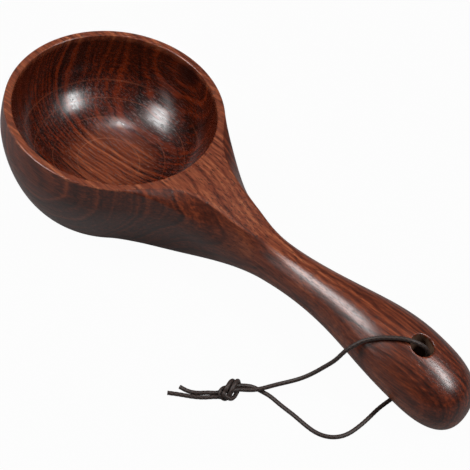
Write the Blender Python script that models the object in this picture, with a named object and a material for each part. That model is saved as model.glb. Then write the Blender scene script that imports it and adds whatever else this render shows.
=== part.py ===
"""A bath ladle: one carved hardwood body with a turned bowl, and a knotted cord through its handle.

Metres, +Z up. The ladle is shaped level, with the bowl's axis at x = 0, the rim's plane at z = 0 and
the handle along +X. It is then tipped until it rests on its base and on the end of its handle, as it
lies on a table.
"""

import math

import bmesh
import bpy
import numpy as np
from mathutils import Matrix, Vector

# Turned bowl, with depths below the rim
RIM_RADIUS = 0.0575
RIM_WIDTH = 0.0041
RIM_OUTER_ROUND = 0.0008
RIM_INNER_ROUND = 0.0006
BULGE = 0.0011
BULGE_DEPTH = 0.014
BOWL_DEPTH = 0.042
FLOOR_THICKNESS = 0.012
BASE_RADIUS = 0.0416
INSIDE_FULLNESS = 2.7
OUTSIDE_FULLNESS = 1.5

# Flare from the bowl into the neck
FLARE_ANGLE = math.radians(45.8)
FLARE_START = 0.226
FLARE_END = 0.436
FLARE_DEPTH_HOLD = 2.03
FLARE_RIM_SHARE = 0.6
FLARE_FOOT_EASE = 2.07
FLARE_EDGE_DEPTH = 0.016

# Crease along each side of the flare's flat top, with reaches from the bowl's axis and other places as shares
# of the flare
CREASE_INSET = 0.009
CREASE_CRISP = 0.15
CREASE_FULL = 0.557
CREASE_WIDEST = 0.58
CREASE_NARROWED = 0.85
CREASE_NARROWING = 0.44
CREASE_STEEPNESS = 0.5
CREASE_FADE_REACH = 0.095
CREASE_END_REACH = 0.160

# Neck and grip, with reaches from the bowl's axis and drops below the rim
NECK_REACH = 0.1156
NECK_WIDTH = 0.0210
NECK_DROP = 0.0098
NECK_THICKNESS = 0.0240
NECK_UNDER_SLOPE = 0.216
GRIP_REACH = 0.205
GRIP_WIDTH = 0.0402
GRIP_DROP = 0.0048
GRIP_THICKNESS = 0.0345
GRIP_TOP_SLOPE = -0.22
GRIP_UNDER_SLOPE = -0.21
GRIP_SWELL_START = 0.55
GRIP_SWELL_END = 0.37
SECTION_FULLNESS = 2.4

# Rounded end of the handle
TIP_REACH = 0.236
TIP_DROP = 0.0329
TIP_PLAN_FULLNESS = 2.6
TIP_TOP_FULLNESS = 3.5
TIP_UNDER_FULLNESS = 2.4

# Drilled hole for the cord
HOLE_REACH = 0.2035
HOLE_DIAMETER = 0.012

# Waxed cord, with points given from the hole's axis on the floor
CORD_DIAMETER = 0.0022
CORD_GAP = 0.0003
UPPER_ROUTE = (
    (-0.0546, -0.0546, 0.0031),
    (-0.0530, -0.0529, 0.0035),
    (-0.0497, -0.0482, 0.0044),
    (-0.0473, -0.0450, 0.0053),
    (-0.0405, -0.0381, 0.0092),
    (-0.0364, -0.0341, 0.0132),
    (-0.0320, -0.0299, 0.0193),
    (-0.0285, -0.0266, 0.0252),
    (-0.0265, -0.0235, 0.0302),
    (-0.0244, -0.0209, 0.0336),
    (-0.0225, -0.0184, 0.0359),
    (-0.0203, -0.0161, 0.0376),
    (-0.0176, -0.0137, 0.0390),
    (-0.0146, -0.0114, 0.0401),
    (-0.0111, -0.0090, 0.0409),
    (-0.0077, -0.0066, 0.0413),
    (-0.0033, -0.0041, 0.0412),
    (-0.0005, -0.0023, 0.0402),
    (0.0020, -0.0004, 0.0382),
    (0.0036, 0.0010, 0.0356),
    (0.0043, 0.0016, 0.0322),
    (0.0044, 0.0012, 0.0276),
)
MEETING_PLACE = (0.0036, -0.0003, 0.0212)
LOWER_ROUTE = (
    (0.0027, -0.0007, 0.0151),
    (0.0014, -0.0011, 0.0093),
    (0.0002, -0.0020, 0.0051),
    (-0.0021, -0.0049, 0.0019),
    (-0.0032, -0.0104, 0.0012),
    (-0.0041, -0.0194, 0.0012),
    (-0.0041, -0.0268, 0.0012),
    (-0.0046, -0.0367, 0.0012),
    (-0.0061, -0.0433, 0.0012),
    (-0.0099, -0.0487, 0.0012),
    (-0.0161, -0.0518, 0.0012),
    (-0.0226, -0.0522, 0.0012),
    (-0.0320, -0.0515, 0.0012),
    (-0.0383, -0.0513, 0.0012),
    (-0.0430, -0.0510, 0.0012),
    (-0.0478, -0.0508, 0.0012),
    (-0.0517, -0.0513, 0.0012),
    (-0.0543, -0.0517, 0.0012),
    (-0.0566, -0.0525, 0.0015),
)
LONG_TAIL_ROUTE = (
    (-0.0695, -0.0737, 0.0012),
    (-0.0752, -0.0783, 0.0012),
    (-0.0793, -0.0809, 0.0012),
    (-0.0844, -0.0844, 0.0012),
)
SHORT_TAIL_ROUTE = (
    (-0.0695, -0.0699, 0.0014),
    (-0.0724, -0.0729, 0.0014),
    (-0.0771, -0.0762, 0.0012),
    (-0.0825, -0.0774, 0.0012),
)

# Overhand knot in the doubled cord: its path, and which way is out of the knot at each of its points
KNOT_PLACE = (-0.0622, -0.0627, 0.0)
KNOT_TURN = math.radians(45)
KNOT_PATH = (
    (0.0066, 0.0020, 0.0027),
    (0.0044, 0.0019, 0.0030),
    (0.0018, 0.0010, 0.0038),
    (-0.0012, 0.0002, 0.0040),
    (-0.0035, -0.0006, 0.0043),
    (-0.0048, -0.0024, 0.0040),
    (-0.0032, -0.0040, 0.0026),
    (-0.0006, -0.0032, 0.0016),
    (0.0015, 0.0, 0.0016),
    (0.0027, 0.0029, 0.0020),
    (0.0027, 0.0046, 0.0038),
    (0.0016, 0.0034, 0.0063),
    (-0.0002, 0.0004, 0.0070),
    (-0.0017, -0.0020, 0.0056),
    (-0.0030, -0.0022, 0.0029),
    (-0.0048, -0.0015, 0.0018),
    (-0.0072, -0.0012, 0.0013),
)
KNOT_OUTWARD = (
    (0.0, 0.0, 1.0),
    (0.0, 0.0, 1.0),
    (0.0, 0.0, 1.0),
    (0.0, 0.0, 1.0),
    (-0.3, 0.0, 1.0),
    (-0.8, -0.5, 0.5),
    (-0.3, -1.0, -0.1),
    (0.0, -0.5, -0.9),
    (0.0, 0.0, -1.0),
    (0.3, 0.6, -0.8),
    (0.2, 1.0, 0.1),
    (0.0, 0.7, 0.7),
    (0.0, 0.0, 1.0),
    (0.0, -0.7, 0.7),
    (-0.4, -0.7, 0.6),
    (-0.3, -0.2, 0.9),
    (0.0, 0.0, 1.0),
)

# Finishes
WOOD_COLOUR = (0.10, 0.026, 0.012)
WOOD_ROUGHNESS = 0.28
CORD_COLOUR = (0.022, 0.015, 0.012)
CORD_ROUGHNESS = 0.6

# How finely the wood and the cord are divided
BOWL_COLUMNS = 20
FLARE_COLUMNS = 15
GRIP_COLUMNS = 9
TIP_COLUMNS = 9
INSIDE_ROWS = 9
ROUND_ROWS = 4
UNDER_ROWS = 13
HOLE_SIDES = 32
CORD_STEP = 2
CORD_BEVEL_COUNT = 2
KNOT_POINTS = 60
KNOT_VOXEL = 0.00045
KNOT_KEPT = 0.4
FINE_POINTS = 600

# Worked out from the sizes above
MOUTH_RADIUS = RIM_RADIUS - RIM_WIDTH
BOWL_HEIGHT = BOWL_DEPTH + FLOOR_THICKNESS
BULGE_RADIUS = RIM_RADIUS + BULGE
CORD_RADIUS = CORD_DIAMETER / 2
MERGE = 1e-6


def smooth_step(t):
    """A ramp from 0 to 1 with level ends."""
    t = np.clip(t, 0, 1)
    return t * t * (3 - 2 * t)


def bezier(start, start_pull, end_pull, end, t):
    """Points of a cubic curve between two plan points."""
    t = t[:, None]
    s = 1 - t
    return s**3 * start + 3 * s * s * t * start_pull + 3 * s * t * t * end_pull + t**3 * end


def hermite(x, x0, x1, z0, z1, slope0, slope1):
    """Height at x on a cubic from (x0, z0) to (x1, z1) with the given end slopes."""
    h = x1 - x0
    t = np.clip((x - x0) / h, 0, 1)
    level = z0 + (z1 - z0) * smooth_step(t)
    return level + h * (slope0 * t * (1 - t) ** 2 - slope1 * t * t * (1 - t))


def quarter(count, fullness):
    """Cosine and sine shares along a quarter of a superellipse, from its side to its end."""
    angle = np.linspace(0, math.pi / 2, count)
    c = np.cos(angle)
    c[-1] = 0
    return c ** (2 / fullness), np.sin(angle) ** (2 / fullness)


def around(radius, angle):
    return np.stack([radius * np.cos(angle), radius * np.sin(angle)], 1)


def plan_columns():
    """Half the plan as columns, from the far side of the bowl to the tip of the handle.

    Each column has its point on the outer edge, its point on the mouth of the bowl or on the middle of the
    handle, the x of its foot on the underside, and its way along the flare, from 0 to 1.
    """
    angle = np.linspace(math.pi, FLARE_ANGLE, BOWL_COLUMNS)
    bowl_edge = around(RIM_RADIUS, angle)
    bowl_inner = around(MOUTH_RADIUS, angle)

    t = np.arange(1, FLARE_COLUMNS + 1) / FLARE_COLUMNS
    start = bowl_edge[-1]
    neck = np.array([NECK_REACH, NECK_WIDTH / 2])
    span = np.linalg.norm(neck - start)
    leaving = np.array([math.sin(FLARE_ANGLE), -math.cos(FLARE_ANGLE)])
    along = np.array([1.0, 0.0])
    flare_edge = bezier(
        start, start + leaving * FLARE_START * span, neck - along * FLARE_END * span, neck, t
    )
    flare_inner = around(MOUTH_RADIUS, FLARE_ANGLE * np.clip(1 - t / FLARE_RIM_SHARE, 0, 1))
    past_mouth = np.clip((t - FLARE_RIM_SHARE) / (1 - FLARE_RIM_SHARE), 0, 1)
    flare_inner[:, 0] += (NECK_REACH - MOUTH_RADIUS) * past_mouth
    flare_foot = NECK_REACH * t**FLARE_FOOT_EASE

    grip = np.array([GRIP_REACH, GRIP_WIDTH / 2])
    length = GRIP_REACH - NECK_REACH
    grip_edge = bezier(
        neck,
        neck + along * GRIP_SWELL_START * length,
        grip - along * GRIP_SWELL_END * length,
        grip,
        np.arange(1, GRIP_COLUMNS + 1) / GRIP_COLUMNS,
    )
    across, out = quarter(TIP_COLUMNS + 1, TIP_PLAN_FULLNESS)
    tip_edge = np.stack([GRIP_REACH + (TIP_REACH - GRIP_REACH) * out, GRIP_WIDTH / 2 * across], 1)[1:]
    handle_edge = np.vstack([grip_edge, tip_edge])

    edge = np.vstack([bowl_edge, flare_edge, handle_edge])
    inner = np.vstack([bowl_inner, flare_inner, handle_edge * along])
    foot = np.concatenate([np.zeros(BOWL_COLUMNS), flare_foot, handle_edge[:, 0]])
    way = np.concatenate([np.zeros(BOWL_COLUMNS), t, np.ones(len(handle_edge))])
    mouth_count = BOWL_COLUMNS + int(np.sum(t <= FLARE_RIM_SHARE + MERGE))
    return edge, inner, foot, way, mouth_count


def end_taper(x, fullness):
    """How much of the grip's height is left at x, falling from 1 to 0 over the rounded end."""
    u = np.clip((x - GRIP_REACH) / (TIP_REACH - GRIP_REACH), 0, 1)
    return (1 - u**fullness) ** (1 / fullness)


def top_height(x):
    """Middle line of the top: level at the bowl, dropping into the neck, crowned along the grip."""
    neck = -NECK_DROP * smooth_step((x - MOUTH_RADIUS) / (NECK_REACH - MOUTH_RADIUS))
    grip = hermite(x, NECK_REACH, GRIP_REACH, -NECK_DROP, -GRIP_DROP, 0, GRIP_TOP_SLOPE)
    past = -GRIP_DROP + GRIP_TOP_SLOPE * (x - GRIP_REACH) + TIP_DROP
    tip = past * end_taper(x, TIP_TOP_FULLNESS) - TIP_DROP
    return np.where(x < NECK_REACH, neck, np.where(x < GRIP_REACH, grip, tip))


def under_height(x):
    """Middle line of the handle's underside, running straight on towards the bowl from the neck."""
    neck_under = -NECK_DROP - NECK_THICKNESS
    grip_under = -GRIP_DROP - GRIP_THICKNESS
    neck = neck_under + NECK_UNDER_SLOPE * (x - NECK_REACH)
    grip = hermite(
        x, NECK_REACH, GRIP_REACH, neck_under, grip_under, NECK_UNDER_SLOPE, GRIP_UNDER_SLOPE
    )
    past = grip_under + GRIP_UNDER_SLOPE * (x - GRIP_REACH) + TIP_DROP
    tip = past * end_taper(x, TIP_UNDER_FULLNESS) - TIP_DROP
    return np.where(x < NECK_REACH, neck, np.where(x < GRIP_REACH, grip, tip))


def bowl_outside(start):
    """Turned outside of the bowl, from the given depths below the rim to the middle of the base.

    Returns the radius and depth of each row at each of the starting depths.
    """
    wall_rows = UNDER_ROWS // 3
    wall_depth = np.linspace(RIM_OUTER_ROUND, BULGE_DEPTH, wall_rows, endpoint=False)
    down = quarter(UNDER_ROWS - wall_rows - 1, OUTSIDE_FULLNESS)[1]
    depth = np.concatenate([wall_depth, BULGE_DEPTH + (BOWL_HEIGHT - BULGE_DEPTH) * down, [BOWL_HEIGHT]])
    way_down = (depth - RIM_OUTER_ROUND) / (BOWL_HEIGHT - RIM_OUTER_ROUND)
    depth = start + (BOWL_HEIGHT - start) * way_down[:, None]
    rise = np.clip((BULGE_DEPTH - depth) / (BULGE_DEPTH - RIM_OUTER_ROUND), 0, 1)
    fall = np.clip((depth - BULGE_DEPTH) / (BOWL_HEIGHT - BULGE_DEPTH), 0, 1)
    left = (1 - fall**OUTSIDE_FULLNESS) ** (1 / OUTSIDE_FULLNESS)
    radius = BASE_RADIUS + (BULGE_RADIUS - BASE_RADIUS) * left - BULGE * rise**2
    radius[-1] = 0
    return radius, depth


def bowl_inside():
    """Turned inside of the bowl, from the middle of its floor up to the mouth: radius and depth."""
    across, down = quarter(INSIDE_ROWS, INSIDE_FULLNESS)
    depth = RIM_INNER_ROUND + (BOWL_DEPTH - RIM_INNER_ROUND) * down
    return MOUTH_RADIUS * across[::-1], depth[::-1]


def crease(way, reach, width):
    """How far the top's edge is set in from the outline, and how strong the crease along it is, from 0 to 1.

    The rim's small round widens into a crease beside the flare, which melts into the round handle.
    """
    widened = smooth_step(way / CREASE_FULL)
    narrowed = smooth_step((way - CREASE_WIDEST) / (CREASE_NARROWED - CREASE_WIDEST))
    melted = smooth_step((reach - CREASE_FADE_REACH) / (CREASE_END_REACH - CREASE_FADE_REACH))
    inset = (CREASE_INSET - RIM_OUTER_ROUND) * widened * (1 - CREASE_NARROWING * narrowed) + RIM_OUTER_ROUND
    crisp = smooth_step(way / CREASE_CRISP) * (1 - melted)
    return inset + (width - inset) * melted, crisp


def wood_patches():
    """Half of the ladle's skin as three grids of points: the bowl's inside, the top and the underside."""
    edge, inner, foot, way, mouth_count = plan_columns()
    share = smooth_step(way**FLARE_DEPTH_HOLD)
    x = edge[:, 0]
    top = top_height(x)
    under = under_height(x)
    middle = (top + under) / 2

    edge_fall = smooth_step(way)
    radius, depth = bowl_outside(RIM_OUTER_ROUND + (FLARE_EDGE_DEPTH - RIM_OUTER_ROUND) * edge_fall)
    across, down = quarter(UNDER_ROWS, SECTION_FULLNESS)
    underside = []
    for row in range(UNDER_ROWS):
        out = (1 - share) * radius[row] / RIM_RADIUS + share * across[row]
        height = (1 - share) * (top - depth[row]) + share * (middle + (under - middle) * down[row])
        underside.append(np.stack([foot + (x - foot) * out, edge[:, 1] * out, height], 1))

    mouth = inner[:mouth_count] / MOUTH_RADIUS
    start = inner.copy()
    start[:mouth_count] += mouth * RIM_INNER_ROUND
    reach = underside[0][:, :2] - start
    edge_height = underside[0][:, 2]
    width = np.linalg.norm(reach, axis=1)
    direction = reach / np.maximum(width, MERGE)[:, None]
    shoulder, crisp = crease(way, x, width)
    shoulder_height = top_height(start[:, 0] + direction[:, 0] * (width - shoulder))
    crown = [np.column_stack([start, top_height(start[:, 0])])]
    for turn in np.linspace(math.pi / 2, 0, ROUND_ROWS + 1):
        across, up = math.cos(turn), math.sin(turn)
        up = up + CREASE_STEEPNESS * crisp * (1 - across - up)
        out = width - shoulder * (1 - across)
        height = edge_height + (shoulder_height - edge_height) * up
        crown.append(np.column_stack([start + direction * out[:, None], height]))

    inside = []
    for ring, drop in zip(*bowl_inside()):
        inside.append(np.column_stack([mouth * ring, np.full(mouth_count, -drop)]))
    inside.append(crown[0][:mouth_count])
    return inside, crown, underside


def add_object(name, data, colour, roughness):
    """An object with its own material, for a mesh or a curve."""
    material = bpy.data.materials.new(name + "_finish")
    material.use_nodes = True
    shader = material.node_tree.nodes["Principled BSDF"]
    shader.inputs["Base Color"].default_value = (*colour, 1)
    shader.inputs["Roughness"].default_value = roughness
    shader.inputs["Metallic"].default_value = 0
    data.materials.append(material)
    item = bpy.data.objects.new(name, data)
    bpy.context.scene.collection.objects.link(item)
    return item


def wood_mesh():
    """Closed mesh of the whole ladle: the patches of one half, and their mirror image across y = 0."""
    bm = bmesh.new()
    for patch in wood_patches():
        rows = [[bm.verts.new(point) for point in row] for row in patch]
        for row, next_row in zip(rows, rows[1:]):
            for a, b, c, d in zip(row, row[1:], next_row[1:], next_row):
                bm.faces.new((a, b, c, d))
    bmesh.ops.remove_doubles(bm, verts=bm.verts, dist=MERGE)
    half = bm.verts[:] + bm.edges[:] + bm.faces[:]
    bmesh.ops.mirror(bm, geom=half, matrix=Matrix.Identity(4), merge_dist=MERGE, axis="Y")
    bmesh.ops.remove_doubles(bm, verts=bm.verts, dist=MERGE)
    bmesh.ops.dissolve_degenerate(bm, edges=bm.edges, dist=MERGE)
    bmesh.ops.recalc_face_normals(bm, faces=bm.faces)
    mesh = bpy.data.meshes.new("ladle_body")
    bm.to_mesh(mesh)
    bm.free()
    mesh.shade_smooth()
    return mesh


def drill_hole(body):
    """Cut the cord's hole straight down through the handle. Returns the middle of the hole."""
    top = top_height(np.array([HOLE_REACH]))[0]
    under = under_height(np.array([HOLE_REACH]))[0]
    bm = bmesh.new()
    bmesh.ops.create_cone(
        bm,
        cap_ends=True,
        segments=HOLE_SIDES,
        radius1=HOLE_DIAMETER / 2,
        radius2=HOLE_DIAMETER / 2,
        depth=2 * (top - under),
    )
    mesh = bpy.data.meshes.new("hole_drill")
    bm.to_mesh(mesh)
    bm.free()
    drill = bpy.data.objects.new("hole_drill", mesh)
    bpy.context.scene.collection.objects.link(drill)
    drill.parent = body.parent
    drill.location = (HOLE_REACH, 0, (top + under) / 2)
    drill.hide_render = True
    drill.display_type = "WIRE"
    cut = body.modifiers.new("cord_hole", "BOOLEAN")
    cut.object = drill
    cut.operation = "DIFFERENCE"
    cut.solver = "EXACT"
    return drill.location


def resting_place(mesh):
    """Tilt and shift that put the ladle on the floor, touching with its bowl and its handle's end."""
    points = np.empty(len(mesh.vertices) * 3)
    mesh.vertices.foreach_get("co", points)
    points = points.reshape(-1, 3)
    bowl = points[points[:, 0] < RIM_RADIUS]
    handle = points[points[:, 0] > NECK_REACH]
    rise = handle[None, :, 2] - bowl[:, None, 2]
    run = handle[None, :, 0] - bowl[:, None, 0]
    pitch = math.atan((rise / run).min(axis=1).max())
    tilt = Matrix.Rotation(pitch, 3, "Y")
    world = points @ np.array(tilt).T
    low, high = world.min(axis=0), world.max(axis=0)
    return pitch, Vector((-(low[0] + high[0]) / 2, -(low[1] + high[1]) / 2, -low[2]))


def ladle():
    """The wooden ladle under an empty that carries its tilt. Returns the middle of its hole in the world."""
    mesh = wood_mesh()
    pitch, place = resting_place(mesh)
    rest = bpy.data.objects.new("ladle_rest", None)
    bpy.context.scene.collection.objects.link(rest)
    rest.rotation_euler = (0, pitch, 0)
    rest.location = place
    body = add_object("ladle_body", mesh, WOOD_COLOUR, WOOD_ROUGHNESS)
    body.parent = rest
    hole = drill_hole(body)
    return place + Matrix.Rotation(pitch, 3, "Y") @ hole


def along_spline(points, count=None):
    """Evenly spaced points on a smooth curve through the given ones, a few cord diameters apart by default.

    The curve is a natural cubic spline whose parameter is the chord length.
    """
    points = np.array(points)
    knots = run_length(points)
    gap = np.diff(knots)
    last = len(points) - 1
    system = np.eye(last + 1)
    bend = np.zeros_like(points)
    slope = np.diff(points, axis=0) / gap[:, None]
    for i in range(1, last):
        system[i, i - 1 : i + 2] = gap[i - 1], 2 * (gap[i - 1] + gap[i]), gap[i]
        bend[i] = 6 * (slope[i] - slope[i - 1])
    bend = np.linalg.solve(system, bend)

    s = np.linspace(0, knots[-1], FINE_POINTS)
    i = np.clip(np.searchsorted(knots, s) - 1, 0, last - 1)
    width = gap[i][:, None]
    b = (s - knots[i])[:, None] / width
    a = 1 - b
    fine = a * points[i] + b * points[i + 1]
    fine += ((a**3 - a) * bend[i] + (b**3 - b) * bend[i + 1]) * width**2 / 6

    travel = run_length(fine)
    if count is None:
        count = round(travel[-1] / (CORD_STEP * CORD_DIAMETER)) + 1
    even = np.linspace(0, travel[-1], count)
    return np.stack([np.interp(even, travel, axis) for axis in fine.T], 1)


def unit(vector):
    return vector / np.linalg.norm(vector)


def run_length(points):
    """Length along a row of points, at each of them."""
    return np.concatenate([[0], np.cumsum(np.linalg.norm(np.diff(points, axis=0), axis=1))])


def knot_runs():
    """Middle lines of the two cords that run side by side through the knot, from the strands to the tails."""
    turn = np.array(Matrix.Rotation(KNOT_TURN, 3, "Z"))
    path = along_spline(KNOT_PATH, KNOT_POINTS)
    given = run_length(np.array(KNOT_PATH))
    even = np.linspace(0, given[-1], KNOT_POINTS)
    outward = np.stack([np.interp(even, given, axis) for axis in np.array(KNOT_OUTWARD).T], 1)
    offset = np.cross(np.gradient(path, axis=0), outward)
    offset *= (CORD_DIAMETER + CORD_GAP) / 2 / np.linalg.norm(offset, axis=1)[:, None]
    return [(path + shift) @ turn.T + np.array(KNOT_PLACE) for shift in (offset, -offset)]


def lead_out(face, heading):
    """Start of a cord that goes straight on from an end of the knot, just clear of its face."""
    heading = unit(heading)
    return face + heading * CORD_GAP, face + heading * CORD_DIAMETER


def cord_curve(name, runs):
    """Curve data for round cord along each of the given rows of points, with closed ends."""
    data = bpy.data.curves.new(name, "CURVE")
    data.dimensions = "3D"
    data.bevel_depth = CORD_RADIUS
    data.bevel_resolution = CORD_BEVEL_COUNT
    data.use_fill_caps = True
    for run in runs:
        spline = data.splines.new("POLY")
        spline.points.add(len(run) - 1)
        for place, point in zip(spline.points, run):
            place.co = (*point, 1)
    return data


def cord_knot(runs):
    """The knot as one lump: both cords melted together at their touching sides."""
    form = bpy.data.objects.new("knot_form", cord_curve("knot_form", runs))
    mesh = bpy.data.meshes.new_from_object(form)
    bpy.data.objects.remove(form, do_unlink=True)
    mesh.materials.clear()
    knot = add_object("cord_knot", mesh, CORD_COLOUR, CORD_ROUGHNESS)
    melt = knot.modifiers.new("melt", "REMESH")
    melt.mode = "VOXEL"
    melt.voxel_size = KNOT_VOXEL
    thin = knot.modifiers.new("thin", "DECIMATE")
    thin.ratio = KNOT_KEPT
    return knot


def cord(hole):
    """The knotted cord, under an empty on the vertical axis through the hole that it swings about."""
    pivot = bpy.data.objects.new("cord_pivot", None)
    bpy.context.scene.collection.objects.link(pivot)
    pivot.location = (hole.x, hole.y, 0)
    runs = knot_runs()
    lower_lead, upper_lead = [lead_out(run[0], run[0] - run[1]) for run in runs]
    short_lead, long_lead = [lead_out(run[-1], run[-1] - run[-2]) for run in runs]
    apart = np.array([0, 0, CORD_GAP / 2])
    routes = {
        "cord_upper_strand": [*upper_lead, *UPPER_ROUTE, MEETING_PLACE + apart],
        "cord_lower_strand": [*lower_lead, *LOWER_ROUTE[::-1], MEETING_PLACE - apart],
        "cord_tail_long": [*long_lead, *LONG_TAIL_ROUTE],
        "cord_tail_short": [*short_lead, *SHORT_TAIL_ROUTE],
    }
    pieces = [cord_knot(runs)]
    for name, route in routes.items():
        pieces.append(add_object(name, cord_curve(name, [along_spline(route)]), CORD_COLOUR, CORD_ROUGHNESS))
    for piece in pieces:
        piece.parent = pivot


def main():
    for item in list(bpy.data.objects):
        bpy.data.objects.remove(item, do_unlink=True)
    cord(ladle())


main()
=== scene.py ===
"""Looks of a bath ladle: lacquered red-brown hardwood, turned and carved, and a waxed cord with a knot.

Sizes are in metres. The ladle is shaped level, with the bowl's axis at x = 0, the rim's plane at z = 0 and
the handle along +X, and is then tipped into its place on the floor.
"""

import math

import bmesh
import bpy
import numpy as np
from mathutils import Matrix, Vector


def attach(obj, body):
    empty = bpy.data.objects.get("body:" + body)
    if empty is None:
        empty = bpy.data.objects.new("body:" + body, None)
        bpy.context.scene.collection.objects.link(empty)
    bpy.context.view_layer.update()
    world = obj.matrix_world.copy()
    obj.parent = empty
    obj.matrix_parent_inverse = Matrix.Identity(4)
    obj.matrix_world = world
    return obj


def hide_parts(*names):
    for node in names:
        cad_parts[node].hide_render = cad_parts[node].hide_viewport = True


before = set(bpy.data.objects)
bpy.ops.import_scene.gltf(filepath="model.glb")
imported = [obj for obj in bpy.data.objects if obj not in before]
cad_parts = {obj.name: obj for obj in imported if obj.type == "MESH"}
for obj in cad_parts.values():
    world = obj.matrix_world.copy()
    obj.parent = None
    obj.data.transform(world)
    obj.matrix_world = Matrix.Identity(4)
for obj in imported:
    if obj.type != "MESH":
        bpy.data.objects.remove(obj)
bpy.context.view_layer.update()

# Turned bowl, with depths below the rim
RIM_RADIUS = 0.0575
MOUTH_RADIUS = 0.0534
RIM_OUTER_ROUND = 0.0008
RIM_INNER_ROUND = 0.0006
BULGE = 0.0011
BULGE_DEPTH = 0.014
BOWL_DEPTH = 0.042
BOWL_HEIGHT = 0.054
BASE_RADIUS = 0.0416
INSIDE_FULLNESS = 2.7
OUTSIDE_FULLNESS = 1.5

# Flare from the bowl into the neck
FLARE_ANGLE = math.radians(45.8)
FLARE_START = 0.226
FLARE_END = 0.436
FLARE_DEPTH_HOLD = 2.03
FLARE_RIM_SHARE = 0.6
FLARE_FOOT_EASE = 2.07
FLARE_EDGE_DEPTH = 0.016

# Crease along each side of the flare's flat top, with reaches from the bowl's axis and other places as
# shares of the flare
CREASE_INSET = 0.009
CREASE_CRISP = 0.15
CREASE_FULL = 0.557
CREASE_WIDEST = 0.58
CREASE_NARROWED = 0.85
CREASE_NARROWING = 0.44
CREASE_STEEPNESS = 0.5
CREASE_FADE_REACH = 0.095
CREASE_END_REACH = 0.160
CREASE_SOFTNESS = 0.0004

# Neck, grip and rounded end, with reaches from the bowl's axis and drops below the rim
NECK_REACH = 0.1156
NECK_WIDTH = 0.0210
NECK_DROP = 0.0098
NECK_THICKNESS = 0.0240
NECK_UNDER_SLOPE = 0.216
GRIP_REACH = 0.205
GRIP_WIDTH = 0.0402
GRIP_DROP = 0.0048
GRIP_THICKNESS = 0.0345
GRIP_TOP_SLOPE = -0.22
GRIP_UNDER_SLOPE = -0.21
GRIP_SWELL_START = 0.55
GRIP_SWELL_END = 0.37
CROWN_FULLNESS = 2.0
SECTION_FULLNESS = 2.4
TIP_REACH = 0.236
TIP_DROP = 0.0329
TIP_PLAN_FULLNESS = 2.6
TIP_TOP_FULLNESS = 3.5
TIP_UNDER_FULLNESS = 2.4

# Drilled hole, with its edges eased by the finishing
HOLE_REACH = 0.2035
HOLE_RADIUS = 0.006
HOLE_EASE = 0.0006

# How the ladle lies on the floor
REST_PITCH = 0.070781
REST_PLACE = (-0.08694, 0.0, 0.057506)

# The wood's patches by number, and how finely they are divided
INSIDE, CROWN, UNDERSIDE = 0, 1, 2
HOLE_WALL = 5
BOWL_COLUMNS = 90
FLARE_COLUMNS = 60
GRIP_COLUMNS = 60
TIP_COLUMNS = 36
INSIDE_ROWS = 44
LIP_ROWS = 5
FLAT_ROWS = 14
ROUND_ROWS = 22
ROUND_CROWDING = 1.3
UNDER_ROWS = 56
HOLE_BLOCK_REACH = 0.0105
HOLE_BLOCK_ROWS = 9
HOLE_RINGS = 8
EASE_ROWS = 6
WALL_ROWS = 14
EDGE_SAMPLES = 3000
MERGE = 1e-7

# Waxed cord, with points given from the hole's axis on the floor
CORD_DIAMETER = 0.0022
CORD_GAP = 0.0003
HOLE_PLACE = (0.114513, 0.0, 0.0)
UPPER_ROUTE = (
    (-0.0546, -0.0546, 0.0031),
    (-0.0530, -0.0529, 0.0035),
    (-0.0497, -0.0482, 0.0044),
    (-0.0473, -0.0450, 0.0053),
    (-0.0405, -0.0381, 0.0092),
    (-0.0364, -0.0341, 0.0132),
    (-0.0320, -0.0299, 0.0193),
    (-0.0285, -0.0266, 0.0252),
    (-0.0265, -0.0235, 0.0302),
    (-0.0244, -0.0209, 0.0336),
    (-0.0225, -0.0184, 0.0359),
    (-0.0203, -0.0161, 0.0376),
    (-0.0176, -0.0137, 0.0390),
    (-0.0146, -0.0114, 0.0401),
    (-0.0111, -0.0090, 0.0409),
    (-0.0077, -0.0066, 0.0413),
    (-0.0033, -0.0041, 0.0412),
    (-0.0005, -0.0023, 0.0402),
    (0.0020, -0.0004, 0.0382),
    (0.0036, 0.0010, 0.0356),
    (0.0043, 0.0016, 0.0322),
    (0.0044, 0.0012, 0.0276),
)
MEETING_PLACE = (0.0036, -0.0003, 0.0212)
LOWER_ROUTE = (
    (0.0027, -0.0007, 0.0151),
    (0.0014, -0.0011, 0.0093),
    (0.0002, -0.0020, 0.0051),
    (-0.0021, -0.0049, 0.0019),
    (-0.0032, -0.0104, 0.0012),
    (-0.0041, -0.0194, 0.0012),
    (-0.0041, -0.0268, 0.0012),
    (-0.0046, -0.0367, 0.0012),
    (-0.0061, -0.0433, 0.0012),
    (-0.0099, -0.0487, 0.0012),
    (-0.0161, -0.0518, 0.0012),
    (-0.0226, -0.0522, 0.0012),
    (-0.0320, -0.0515, 0.0012),
    (-0.0383, -0.0513, 0.0012),
    (-0.0430, -0.0510, 0.0012),
    (-0.0478, -0.0508, 0.0012),
    (-0.0517, -0.0513, 0.0012),
    (-0.0543, -0.0517, 0.0012),
    (-0.0566, -0.0525, 0.0015),
)
LONG_TAIL_ROUTE = (
    (-0.0695, -0.0737, 0.0012),
    (-0.0752, -0.0783, 0.0012),
    (-0.0793, -0.0809, 0.0012),
    (-0.0844, -0.0844, 0.0012),
)
SHORT_TAIL_ROUTE = (
    (-0.0695, -0.0699, 0.0014),
    (-0.0724, -0.0729, 0.0014),
    (-0.0771, -0.0762, 0.0012),
    (-0.0825, -0.0774, 0.0012),
)
KNOT_PLACE = (-0.0622, -0.0627, 0.0)
KNOT_TURN = math.radians(45)
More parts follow.
